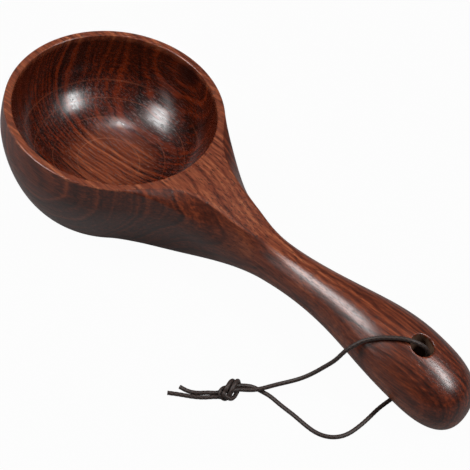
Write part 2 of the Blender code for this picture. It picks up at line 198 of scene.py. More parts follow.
KNOT_PATH = (
    (0.0066, 0.0020, 0.0027),
    (0.0044, 0.0019, 0.0030),
    (0.0018, 0.0010, 0.0038),
    (-0.0012, 0.0002, 0.0040),
    (-0.0035, -0.0006, 0.0043),
    (-0.0048, -0.0024, 0.0040),
    (-0.0032, -0.0040, 0.0026),
    (-0.0006, -0.0032, 0.0016),
    (0.0015, 0.0, 0.0016),
    (0.0027, 0.0029, 0.0020),
    (0.0027, 0.0046, 0.0038),
    (0.0016, 0.0034, 0.0063),
    (-0.0002, 0.0004, 0.0070),
    (-0.0017, -0.0020, 0.0056),
    (-0.0030, -0.0022, 0.0029),
    (-0.0048, -0.0015, 0.0018),
    (-0.0072, -0.0012, 0.0013),
)
KNOT_OUTWARD = (
    (0.0, 0.0, 1.0),
    (0.0, 0.0, 1.0),
    (0.0, 0.0, 1.0),
    (0.0, 0.0, 1.0),
    (-0.3, 0.0, 1.0),
    (-0.8, -0.5, 0.5),
    (-0.3, -1.0, -0.1),
    (0.0, -0.5, -0.9),
    (0.0, 0.0, -1.0),
    (0.3, 0.6, -0.8),
    (0.2, 1.0, 0.1),
    (0.0, 0.7, 0.7),
    (0.0, 0.0, 1.0),
    (0.0, -0.7, 0.7),
    (-0.4, -0.7, 0.6),
    (-0.3, -0.2, 0.9),
    (0.0, 0.0, 1.0),
)

# How far the stain was sanded back, part by part, together with painted light (lighter tops, painted shade
# inside the bowl and on the outside), and between which reaches from the bowl's axis it changes
FLOOR_SANDED_AND_LIT = 0.7
RIM_SANDED_AND_LIT = 1.0
OUTSIDE_SANDED_AND_LIT = 0.25
NECK_SANDED_AND_LIT = 0.8
HANDLE_SANDED_AND_LIT = 0.42
TIP_SANDED_AND_LIT = 0.15
FLOOR_CHANGE = (0.0306, 0.0126)
OUTSIDE_CHANGE = (0.075, 0.120)
HANDLE_CHANGE = (0.11, 0.17)
TIP_CHANGE = (0.19, 0.23)

# Stained wood from its darkest to its palest grain, as left by the stain and where it was sanded back; the
# darkest ramp also serves as painted shade and the palest as painted light on the tops
DEEP_STAIN_AND_SHADE = ((0.41, "#170603"), (0.53, "#3A1106"), (0.68, "#6E260C"))
PALE_STAIN_AND_LIT = ((0.37, "#3D1B11"), (0.49, "#652F1F"), (0.57, "#7B402A"), (0.68, "#9B5A3B"))

# Patterns in the wood: the lengths of their patches along, across and up, in millimetres, and their detail
WOOD_PATTERNS = {
    "bow": ((120, 60, 60), 1),
    "sway": ((26, 18, 30), 2),
    "streaks": ((30, 1.4, 1.4), 3),
    "flecks": ((8, 0.8, 0.8), 2),
    "wear": ((25, 25, 25), 0),
    "pores": ((3.6, 0.5, 0.5), 1),
}

# Growth layers: how they lean, their widths and how far they stray, and what each pattern adds to the grain
LAYER_LEAN = -0.3
LAYER_MM = 2.8
LATE_WOOD_MM = 2.7
BOW_MM = 30
SWAY_MM = 6
GRAIN_BASE = 0.035
GRAIN_SHARES = {"layers": 0.42, "streaks": 0.33, "late_wood": 0.02, "flecks": 0.25}

# Turning rings inside the bowl, and the finish of the wood
RING_RADII_MM = (16.8, 30, 40, 47)
RING_HALF_WIDTH_MM = 0.25
TURNED_ROUGHNESS = 0.21
CARVED_ROUGHNESS = 0.30
PORE_ROUGHNESS = 0.38
PORE_DEPTH = 0.00005

# Plaited cover of the cord: strands each way round, length of one crossing, depth between the strands, and
# its fibres
PLAIT_STRANDS = 4
PLAIT_PITCH = 0.0024
PLAIT_DEPTH = 0.0001
TUFT_LENGTH = 1 / 1400
FIBRE_DEPTH = 0.00005
CORD_SIDES = 24
CORD_STEP = 0.00035
FIRST_SIDE = (0.31, 0.17, 0.93)
KNOT_POINTS = 120
ROUTE_POINTS = 400
SPLINE_FINENESS = 20

# Floor, and where the small light on the bowl points
FLOOR_REACH = 3.0
FLOOR_DROP = 0.0002
BOWL_LIGHT_AIM = (-0.104, 0.024, 0.019)

# Camera, worked out from the photo's outline for a 470 pixel frame
CAMERA_PLACE = (0.340916, -0.486945, 0.657781)
CAMERA_HEADING = (-0.39442, 0.560823, -0.72795)
CAMERA_ROLL = math.radians(7.459)
CAMERA_LENS = 130.2


def smooth_step(x, start=0, end=1):
    """A ramp from 0 at the start to 1 at the end, with level ends: 3t^2 - 2t^3 of the way t between them."""
    t = np.clip((x - start) / (end - start), 0, 1)
    return t * t * (3 - 2 * t)


def bezier(start, start_pull, end_pull, end, t):
    """Points of a cubic curve between two plan points, by the four Bernstein weights."""
    t = t[:, None]
    s = 1 - t
    return s**3 * start + 3 * s * s * t * start_pull + 3 * s * t * t * end_pull + t**3 * end


def hermite(x, x0, x1, z0, z1, slope0, slope1):
    """Height at x on a cubic from (x0, z0) to (x1, z1) with the given end slopes."""
    h = x1 - x0
    t = np.clip((x - x0) / h, 0, 1)
    level = z0 + (z1 - z0) * smooth_step(t)
    return level + h * (slope0 * t * (1 - t) ** 2 - slope1 * t * t * (1 - t))


def quarter(count, fullness):
    """Cosine and sine shares along a quarter of a superellipse: powers 2/fullness of cos and sin."""
    angle = np.linspace(0, math.pi / 2, count)
    c = np.cos(angle)
    c[-1] = 0
    return c ** (2 / fullness), np.sin(angle) ** (2 / fullness)


def end_taper(x, fullness):
    """How much of the grip is left at x: a superellipse that falls from 1 to 0 over the rounded end."""
    u = np.clip((x - GRIP_REACH) / (TIP_REACH - GRIP_REACH), 0, 1)
    return (1 - u**fullness) ** (1 / fullness)


def top_height(x):
    """Middle line of the top: a smooth step from bowl to neck, then a cubic and a rounded end."""
    neck = -NECK_DROP * smooth_step(x, MOUTH_RADIUS, NECK_REACH)
    grip = hermite(x, NECK_REACH, GRIP_REACH, -NECK_DROP, -GRIP_DROP, 0, GRIP_TOP_SLOPE)
    past = -GRIP_DROP + GRIP_TOP_SLOPE * (x - GRIP_REACH) + TIP_DROP
    tip = past * end_taper(x, TIP_TOP_FULLNESS) - TIP_DROP
    return np.where(x < NECK_REACH, neck, np.where(x < GRIP_REACH, grip, tip))


def under_height(x):
    """Middle line of the underside: straight to the neck, a cubic from neck to grip, then a rounded end."""
    neck_under = -NECK_DROP - NECK_THICKNESS
    grip_under = -GRIP_DROP - GRIP_THICKNESS
    neck = neck_under + NECK_UNDER_SLOPE * (x - NECK_REACH)
    grip = hermite(x, NECK_REACH, GRIP_REACH, neck_under, grip_under, NECK_UNDER_SLOPE, GRIP_UNDER_SLOPE)
    past = grip_under + GRIP_UNDER_SLOPE * (x - GRIP_REACH) + TIP_DROP
    tip = past * end_taper(x, TIP_UNDER_FULLNESS) - TIP_DROP
    return np.where(x < NECK_REACH, neck, np.where(x < GRIP_REACH, grip, tip))


def grip_edge(t):
    """Plan of the grip's edge: a cubic that leaves the neck and meets the widest place along the handle."""
    neck = np.array([NECK_REACH, NECK_WIDTH / 2])
    grip = np.array([GRIP_REACH, GRIP_WIDTH / 2])
    along = np.array([GRIP_REACH - NECK_REACH, 0])
    return bezier(neck, neck + along * GRIP_SWELL_START, grip - along * GRIP_SWELL_END, grip, t)


def half_width(x):
    """Half the handle's width at x, read from its plan's edge."""
    edge = grip_edge(np.linspace(0, 1, EDGE_SAMPLES))
    grip = np.interp(x, edge[:, 0], edge[:, 1])
    return np.where(x < GRIP_REACH, grip, GRIP_WIDTH / 2 * end_taper(x, TIP_PLAN_FULLNESS))


def handle_skin(x, y, end_height, fullness):
    """Height of the handle's top or underside over a plan point: a superellipse from side to middle."""
    middle = (top_height(x) + under_height(x)) / 2
    share = np.clip(np.abs(y) / half_width(x), 0, 1)
    return middle + (end_height(x) - middle) * (1 - share**fullness) ** (1 / fullness)


def around(radius, angle):
    """Plan points on circles round the bowl's axis: radius times cosine and sine of the angle."""
    return np.stack([radius * np.cos(angle), radius * np.sin(angle)], 1)


def plan_columns():
    """Half the plan as columns, from the bowl's far side to the tip: a circle, a cubic, the grip and tip.

    Each column has its point on the outer edge, its point on the bowl's mouth or the handle's middle line,
    the x of its foot on the underside, and its way along the flare, from 0 to 1. The last number returned
    says how many columns start at the mouth.
    """
    angle = np.linspace(math.pi, FLARE_ANGLE, BOWL_COLUMNS)
    bowl_edge = around(RIM_RADIUS, angle)

    t = np.arange(1, FLARE_COLUMNS + 1) / FLARE_COLUMNS
    start = bowl_edge[-1]
    neck = np.array([NECK_REACH, NECK_WIDTH / 2])
    span = np.linalg.norm(neck - start)
    leaving = start + np.array([math.sin(FLARE_ANGLE), -math.cos(FLARE_ANGLE)]) * FLARE_START * span
    arriving = neck - np.array([FLARE_END * span, 0])
    flare_edge = bezier(start, leaving, arriving, neck, t)
    flare_inner = around(MOUTH_RADIUS, FLARE_ANGLE * np.clip(1 - t / FLARE_RIM_SHARE, 0, 1))
    past_mouth = np.clip((t - FLARE_RIM_SHARE) / (1 - FLARE_RIM_SHARE), 0, 1)
    flare_inner[:, 0] += (NECK_REACH - MOUTH_RADIUS) * past_mouth

    across, out = quarter(TIP_COLUMNS + 1, TIP_PLAN_FULLNESS)
    tip_edge = np.stack([GRIP_REACH + (TIP_REACH - GRIP_REACH) * out, GRIP_WIDTH / 2 * across], 1)[1:]
    handle_edge = np.vstack([grip_edge(np.arange(1, GRIP_COLUMNS + 1) / GRIP_COLUMNS), tip_edge])

    edge = np.vstack([bowl_edge, flare_edge, handle_edge])
    inner = np.vstack([around(MOUTH_RADIUS, angle), flare_inner, handle_edge * (1, 0)])
    foot = np.concatenate([np.zeros(BOWL_COLUMNS), NECK_REACH * t**FLARE_FOOT_EASE, handle_edge[:, 0]])
    way = np.concatenate([np.zeros(BOWL_COLUMNS), t, np.ones(len(handle_edge))])
    mouth_count = BOWL_COLUMNS + int(np.sum(t <= FLARE_RIM_SHARE + MERGE))
    return edge, inner, foot, way, mouth_count


def crease(way, reach, width):
    """How far the top's edge is set in from the outline, and how strong the crease along it is, from 0 to 1.

    The rim's small round widens by a smooth step into a crease beside the flare, which narrows towards the
    neck and melts into the handle.
    """
    widened = smooth_step(way, 0, CREASE_FULL)
    narrowed = smooth_step(way, CREASE_WIDEST, CREASE_NARROWED)
    melted = smooth_step(reach, CREASE_FADE_REACH, CREASE_END_REACH)
    inset = (CREASE_INSET - RIM_OUTER_ROUND) * widened * (1 - CREASE_NARROWING * narrowed) + RIM_OUTER_ROUND
    crisp = smooth_step(way, 0, CREASE_CRISP) * (1 - melted)
    return inset + (width - inset) * melted, crisp


def underside_patch(edge, foot, way, share, top, under):
    """Grid of the outside: the bowl's profile scaled to the plan's edge, mixed into the handle's section.

    The profile is a parabola from the rim to the bulge, then a superellipse to the base, then the flat base.
    Beside the flare it starts lower, by a smooth step along the flare.
    """
    start = RIM_OUTER_ROUND + (FLARE_EDGE_DEPTH - RIM_OUTER_ROUND) * smooth_step(way)
    wall_rows = UNDER_ROWS // 3
    curve_down = quarter(UNDER_ROWS - wall_rows - 1, OUTSIDE_FULLNESS)[1]
    wall_depth = np.linspace(RIM_OUTER_ROUND, BULGE_DEPTH, wall_rows, endpoint=False)
    curve_depth = BULGE_DEPTH + (BOWL_HEIGHT - BULGE_DEPTH) * curve_down
    depth = np.concatenate([wall_depth, curve_depth, [BOWL_HEIGHT]])
    way_down = (depth - RIM_OUTER_ROUND) / (BOWL_HEIGHT - RIM_OUTER_ROUND)
    depth = start + (BOWL_HEIGHT - start) * way_down[:, None]
    rise = np.clip((BULGE_DEPTH - depth) / (BULGE_DEPTH - RIM_OUTER_ROUND), 0, 1)
    fall = np.clip((depth - BULGE_DEPTH) / (BOWL_HEIGHT - BULGE_DEPTH), 0, 1)
    left = (1 - fall**OUTSIDE_FULLNESS) ** (1 / OUTSIDE_FULLNESS)
    radius = BASE_RADIUS + (RIM_RADIUS + BULGE - BASE_RADIUS) * left - BULGE * rise**2
    radius[-1] = 0
    across, down = [values[:, None] for values in quarter(UNDER_ROWS, SECTION_FULLNESS)]
    middle = (top + under) / 2
    out = (1 - share) * radius / RIM_RADIUS + share * across
    height = (1 - share) * (top - depth) + share * (middle + (under - middle) * down)
    return np.stack([foot + (edge[:, 0] - foot) * out, edge[:, 1] * out, height], 2)


def crown_patch(edge, start, shoulder, crisp):
    """Grid of the top: level across from the mouth or middle line to the shoulder, then a quarter ellipse.

    Beside the flare the ellipse is mixed with its chord, which leaves a crease. The crease is softened by the
    difference between log(1 + exp(d)) and the larger of d and 0. Rows are closer near the shoulder.
    """
    reach = edge[:, :2] - start
    edge_height = edge[:, 2]
    width = np.linalg.norm(reach, axis=1)
    direction = reach / np.maximum(width, MERGE)[:, None]
    chord = CREASE_STEEPNESS * crisp
    turn = math.pi / 2 * (1 - np.linspace(0, 1, ROUND_ROWS + 1)[:, None] ** ROUND_CROWDING)
    across, up = np.cos(turn), np.sin(turn)
    up = up + chord * (1 - across - up)
    s = 1 - (1 - np.linspace(0, 1, FLAT_ROWS, endpoint=False)[:, None]) ** 2
    out = np.concatenate([(width - shoulder) * s, width - shoulder * (1 - across)])
    top = top_height(start[:, 0] + direction[:, 0] * np.minimum(out, width - shoulder))
    height = np.concatenate([top[:FLAT_ROWS], edge_height + (top[-1] - edge_height) * up])
    past = (out - width + shoulder) / CREASE_SOFTNESS
    ends = np.minimum(out, width - out) / CREASE_SOFTNESS
    bend = (np.logaddexp(0, past) - np.maximum(past, 0)) * smooth_step(ends)
    height -= chord * (top[-1] - edge_height) / np.maximum(shoulder, MERGE) * CREASE_SOFTNESS * bend
    return np.concatenate([start + direction * out[:, :, None], height[:, :, None]], 2)


def inside_patch(mouth, lip_height):
    """Grid of the bowl's inside: a superellipse from its middle to the mouth, then a quarter round."""
    across, down = quarter(INSIDE_ROWS, INSIDE_FULLNESS)
    lip = np.linspace(0, math.pi / 2, LIP_ROWS + 1)[1:]
    lip_radius = MOUTH_RADIUS + RIM_INNER_ROUND * (1 - np.cos(lip))
    radius = np.concatenate([MOUTH_RADIUS * across[::-1], lip_radius])
    wall = RIM_INNER_ROUND + (BOWL_DEPTH - RIM_INNER_ROUND) * down[::-1]
    depth = np.concatenate([wall, RIM_INNER_ROUND * (1 - np.sin(lip))])
    plan = mouth[None] * radius[:, None, None]
    near_lip = np.clip(1 - depth / RIM_INNER_ROUND, 0, 1)[:, None]
    height = -depth[:, None] + lip_height * near_lip
    return np.concatenate([plan, height[:, :, None]], 2)


def hole_patches(crown, underside, columns):
    """Grids round the hole: rings from the skin's cut-out to the circle, two eased edges, and the wall.

    A ring is a straight blend in plan from the cut-out's outline to the circle, laid on the skin's height. An
    eased edge is a quarter round, and the wall a straight blend between the two edges.
    """
    first, last = columns
    rows = FLAT_ROWS + np.arange(HOLE_BLOCK_ROWS + 1)
    under_rows = UNDER_ROWS - 1 - np.arange(HOLE_BLOCK_ROWS + 1)
    skins = [
        (crown, rows, top_height, CROWN_FULLNESS, -1),
        (underside, under_rows, under_height, SECTION_FULLNESS, 1),
    ]
    grids, throats = [], []
    for patch, block, end_height, fullness, inward in skins:
        outline = np.concatenate(
            [patch[block, first, :2], patch[block[-1], first + 1 : last, :2], patch[block[::-1], last, :2]]
        )
        angle = np.arctan2(outline[:, 1], outline[:, 0] - HOLE_REACH)
        middle = np.array([HOLE_REACH, 0])
        circle = middle + around(HOLE_RADIUS + HOLE_EASE, angle)
        s = np.linspace(0, 1, HOLE_RINGS + 1)[:, None, None]
        plan = outline + (circle - outline) * s
        height = handle_skin(plan[:, :, 0], plan[:, :, 1], end_height, fullness)
        turn = np.linspace(0, math.pi / 2, EASE_ROWS + 1)[1:, None]
        radius = HOLE_RADIUS + HOLE_EASE * (1 - np.sin(turn))
        eased = np.stack([HOLE_REACH + radius * np.cos(angle), radius * np.sin(angle)], 2)
        eased_height = height[-1] + inward * HOLE_EASE * (1 - np.cos(turn))
        grids.append(np.concatenate([np.dstack([plan, height]), np.dstack([eased, eased_height])]))
        throats.append(grids[-1][-1])
    s = np.linspace(0, 1, WALL_ROWS + 1)[:, None, None]
    wall = throats[0] + (throats[1] - throats[0]) * s
    return grids[0], grids[1][::-1], wall


def sanding_and_painted_light(patch, number, crisp):
    """How far the dark stain was sanded back on a patch, with painted light and shade in it, from 0 to 1, all
    by smooth steps.

    The inside is dark as painted shade in the hollow, and lightens towards the middle of its floor. The rim
    and the flare's flat top are lightest, sanded and painted as lit from above, and the top darkens along the
    handle. The outside, which begins at the crease, is dark at the bowl as painted shade, and lightens along
    the neck.
    """
    x, y = patch[:, :, 0], patch[:, :, 1]
    if number == INSIDE:
        share = FLOOR_SANDED_AND_LIT * smooth_step(np.hypot(x, y), *FLOOR_CHANGE)
        share[-LIP_ROWS - 1 :] = RIM_SANDED_AND_LIT
        return share
    outside = OUTSIDE_SANDED_AND_LIT + (NECK_SANDED_AND_LIT - OUTSIDE_SANDED_AND_LIT) * smooth_step(x, *OUTSIDE_CHANGE)
    if number == UNDERSIDE:
        return outside
    share = RIM_SANDED_AND_LIT + (HANDLE_SANDED_AND_LIT - RIM_SANDED_AND_LIT) * smooth_step(x, *HANDLE_CHANGE)
    share += (TIP_SANDED_AND_LIT - HANDLE_SANDED_AND_LIT) * smooth_step(x, *TIP_CHANGE)
    if number == CROWN:
        # Below the crease the side takes the outside's darker share: painted shade on the side of the flare.
        past_crease = FLAT_ROWS + 2
        share[past_crease:] += (outside - share)[past_crease:] * crisp
    return share


def grid_faces(rows, columns, block=None):
    """Corner numbers of a grid's quads, row by row, without those of a block of rows and columns."""
    r, c = np.meshgrid(np.arange(rows - 1), np.arange(columns - 1), indexing="ij")
    keep = np.ones(r.shape, bool)
    if block is not None:
        (row_start, row_end), (column_start, column_end) = block
        keep[row_start:row_end, column_start:column_end] = False
    corner = (r * columns + c)[keep]
    return np.stack([corner, corner + 1, corner + columns + 1, corner + columns], 1)


def mesh_piece(name, points, faces, attributes):
    """An object from points and their faces' corners, with doubles merged and faces turned outwards."""
    mesh = bpy.data.meshes.new(name)
    mesh.from_pydata(points.tolist(), [], faces)
    for key, values in attributes.items():
        layer = mesh.attributes.new(key, "FLOAT", "POINT")
        layer.data.foreach_set("value", values)
    bm = bmesh.new()
    bm.from_mesh(mesh)
    bmesh.ops.remove_doubles(bm, verts=bm.verts, dist=MERGE)
    bmesh.ops.dissolve_degenerate(bm, edges=bm.edges, dist=MERGE)
    bmesh.ops.recalc_face_normals(bm, faces=bm.faces)
    bm.to_mesh(mesh)
    bm.free()
    mesh.shade_smooth()
    piece = bpy.data.objects.new(name, mesh)
    bpy.context.scene.collection.objects.link(piece)
    return piece


def wooden_ladle():
    """The ladle's whole skin: the grids of one half, and the same with y turned round."""
    edge, inner, foot, way, mouth_count = plan_columns()
    share = smooth_step(way**FLARE_DEPTH_HOLD)
    x = edge[:, 0]
    top = top_height(x)
    under = under_height(x)
    mouth = inner[:mouth_count] / MOUTH_RADIUS
    start = inner.copy()
    start[:mouth_count] += mouth * RIM_INNER_ROUND

    underside = underside_patch(edge, foot, way, share, top, under)
    shoulder, crisp = crease(way, x, np.linalg.norm(underside[0, :, :2] - start, axis=1))
    crown = crown_patch(underside[0], start, shoulder, crisp)
    inside = inside_patch(mouth, crown[0, :mouth_count, 2])
    block_ends = (HOLE_REACH - HOLE_BLOCK_REACH, HOLE_REACH + HOLE_BLOCK_REACH)
    columns = [int(np.argmin(np.abs(x - end))) for end in block_ends]
    blocks = {
        CROWN: ((0, FLAT_ROWS + HOLE_BLOCK_ROWS), columns),
        UNDERSIDE: ((UNDER_ROWS - 1 - HOLE_BLOCK_ROWS, UNDER_ROWS), columns),
    }
    patches = [inside, crown, underside, *hole_patches(crown, underside, columns)]

    points, faces, sanded_and_lit, turned, bare, count = [], [], [], [], [], 0
    for number, patch in enumerate(patches):
        rows, width = patch.shape[:2]
        points.append(patch.reshape(-1, 3))
        faces.append(grid_faces(rows, width, blocks.get(number)) + count)
        sanded_and_lit.append(sanding_and_painted_light(patch, number, crisp).ravel())
        turned.append(np.full(rows * width, float(number == INSIDE)))
        bare.append(np.full(rows * width, float(number == HOLE_WALL)))
        count += rows * width
    half = np.concatenate(points)
    half_faces = np.concatenate(faces)
    points = np.concatenate([half, half * (1, -1, 1)])
    faces = np.concatenate([half_faces, half_faces[:, ::-1] + count])
    tilt = np.array(Matrix.Rotation(REST_PITCH, 3, "Y"))
    points = points @ tilt.T + np.array(REST_PLACE)
    # The sanding share carries painted light as well: lighter tops, and painted shade inside the bowl and on
    # the sides.
    attributes = {"sanded_and_lit": sanded_and_lit, "turned": turned, "bare": bare}
    attributes = {key: np.tile(np.concatenate(values), 2) for key, values in attributes.items()}
    return mesh_piece("ladle", points, faces.tolist(), attributes)


def unit(vector):
    """The vector divided by its length."""
    return vector / np.linalg.norm(vector)


def run_length(points):
    """Length along a row of points, at each of them."""
    return np.concatenate([[0], np.cumsum(np.linalg.norm(np.diff(points, axis=0), axis=1))])


def along_spline(points, count):
    """Evenly spaced points on a natural cubic spline through the given ones, by chord length."""
    points = np.array(points)
    knots = run_length(points)
    gap = np.diff(knots)
    last = len(points) - 1
    system = np.eye(last + 1)
    bend = np.zeros_like(points)
    slope = np.diff(points, axis=0) / gap[:, None]
    for i in range(1, last):
        system[i, i - 1 : i + 2] = gap[i - 1], 2 * (gap[i - 1] + gap[i]), gap[i]
        bend[i] = 6 * (slope[i] - slope[i - 1])
    bend = np.linalg.solve(system, bend)
    s = np.linspace(0, knots[-1], SPLINE_FINENESS * count)
    i = np.clip(np.searchsorted(knots, s) - 1, 0, last - 1)
    width = gap[i][:, None]
    b = (s - knots[i])[:, None] / width
    a = 1 - b
    fine = a * points[i] + b * points[i + 1]
    fine += ((a**3 - a) * bend[i] + (b**3 - b) * bend[i + 1]) * width**2 / 6
    travel = run_length(fine)
    even = np.linspace(0, travel[-1], count)
    return np.stack([np.interp(even, travel, axis) for axis in fine.T], 1)


def knot_runs():
    """Middle lines of the two cords side by side through the knot.

    They are the knot's path, shifted each way along the cross product of its heading and the direction that
    faces out of the knot there.
    """
    turn = np.array(Matrix.Rotation(KNOT_TURN, 3, "Z"))
    path = along_spline(KNOT_PATH, KNOT_POINTS)
    given = run_length(np.array(KNOT_PATH))
    even = np.linspace(0, given[-1], len(path))
    outward = np.stack([np.interp(even, given, axis) for axis in np.array(KNOT_OUTWARD).T], 1)
    offset = np.cross(np.gradient(path, axis=0), outward)
    offset *= (CORD_DIAMETER + CORD_GAP) / 2 / np.linalg.norm(offset, axis=1)[:, None]
    return [(path + shift) @ turn.T + np.array(KNOT_PLACE) for shift in (offset, -offset)]


def plaited_cord(name, route):
    """A tube along the route whose radius follows a plait. Returns the piece and its middle line.

    The plait is the higher of two sets of helical ridges, each a cosine of the angle round the cord plus or
    minus the way along it. Each ring's side is the last one's, with its share along the heading taken off.
    """
    path = along_spline(route, ROUTE_POINTS) + np.array(HOLE_PLACE)
    count = int(run_length(path)[-1] / CORD_STEP)
    path = along_spline(path, count)
    heading = np.gradient(path, axis=0)
    heading /= np.linalg.norm(heading, axis=1)[:, None]
    side = np.empty_like(path)
    side[0] = unit(np.cross(heading[0], FIRST_SIDE))
    for i in range(1, count):
        side[i] = unit(side[i - 1] - heading[i] * side[i - 1].dot(heading[i]))
    across = np.cross(heading, side)

    travel = run_length(path)[:, None]
    angle = np.linspace(0, 2 * math.pi, CORD_SIDES, endpoint=False)[None]
    climb = 2 * math.pi * travel / PLAIT_PITCH
    ridge = np.maximum(np.cos(PLAIT_STRANDS * angle + climb), np.cos(PLAIT_STRANDS * angle - climb))
    radius = CORD_DIAMETER / 2 - PLAIT_DEPTH * (1 - ridge) / 2
    ring = side[:, None] * np.cos(angle)[:, :, None] + across[:, None] * np.sin(angle)[:, :, None]
    tube = path[:, None] + ring * radius[:, :, None]

    number = np.arange(count * CORD_SIDES).reshape(count, CORD_SIDES)
    following = np.roll(number, -1, axis=1)
    walls = np.stack([number[:-1], following[:-1], following[1:], number[1:]], 2).reshape(-1, 4)
    faces = [*walls.tolist(), number[0, ::-1].tolist(), number[-1].tolist()]
    return mesh_piece(name, tube.reshape(-1, 3), faces, {"ridge": ridge.ravel()}), path


def add(tree, kind, sockets=None, **settings):
    """One node: its settings by name, and its sockets, each fed a plain value, an output or a node."""
    item = tree.nodes.new(kind)
    for key, value in settings.items():
        setattr(item, key, value)
    for key, value in (sockets or {}).items():
        if isinstance(value, bpy.types.Node):
            value = value.outputs[0]
        if isinstance(value, bpy.types.NodeSocket):
            tree.links.new(value, item.inputs[key])
        else:
            item.inputs[key].default_value = value
    return item


def linear(code, alpha=1.0):
    """An sRGB hex colour as linear light."""
    parts = np.array([int(code[i : i + 2], 16) for i in (1, 3, 5)]) / 255
    low = parts / 12.92
    high = ((parts + 0.055) / 1.055) ** 2.4
    return (*np.where(parts <= 0.04045, low, high), alpha)


def new_material(name):
    """An empty material and its node tree."""
    material = bpy.data.materials.new(name)
    material.use_nodes = True
    material.node_tree.nodes.clear()
    return material, material.node_tree


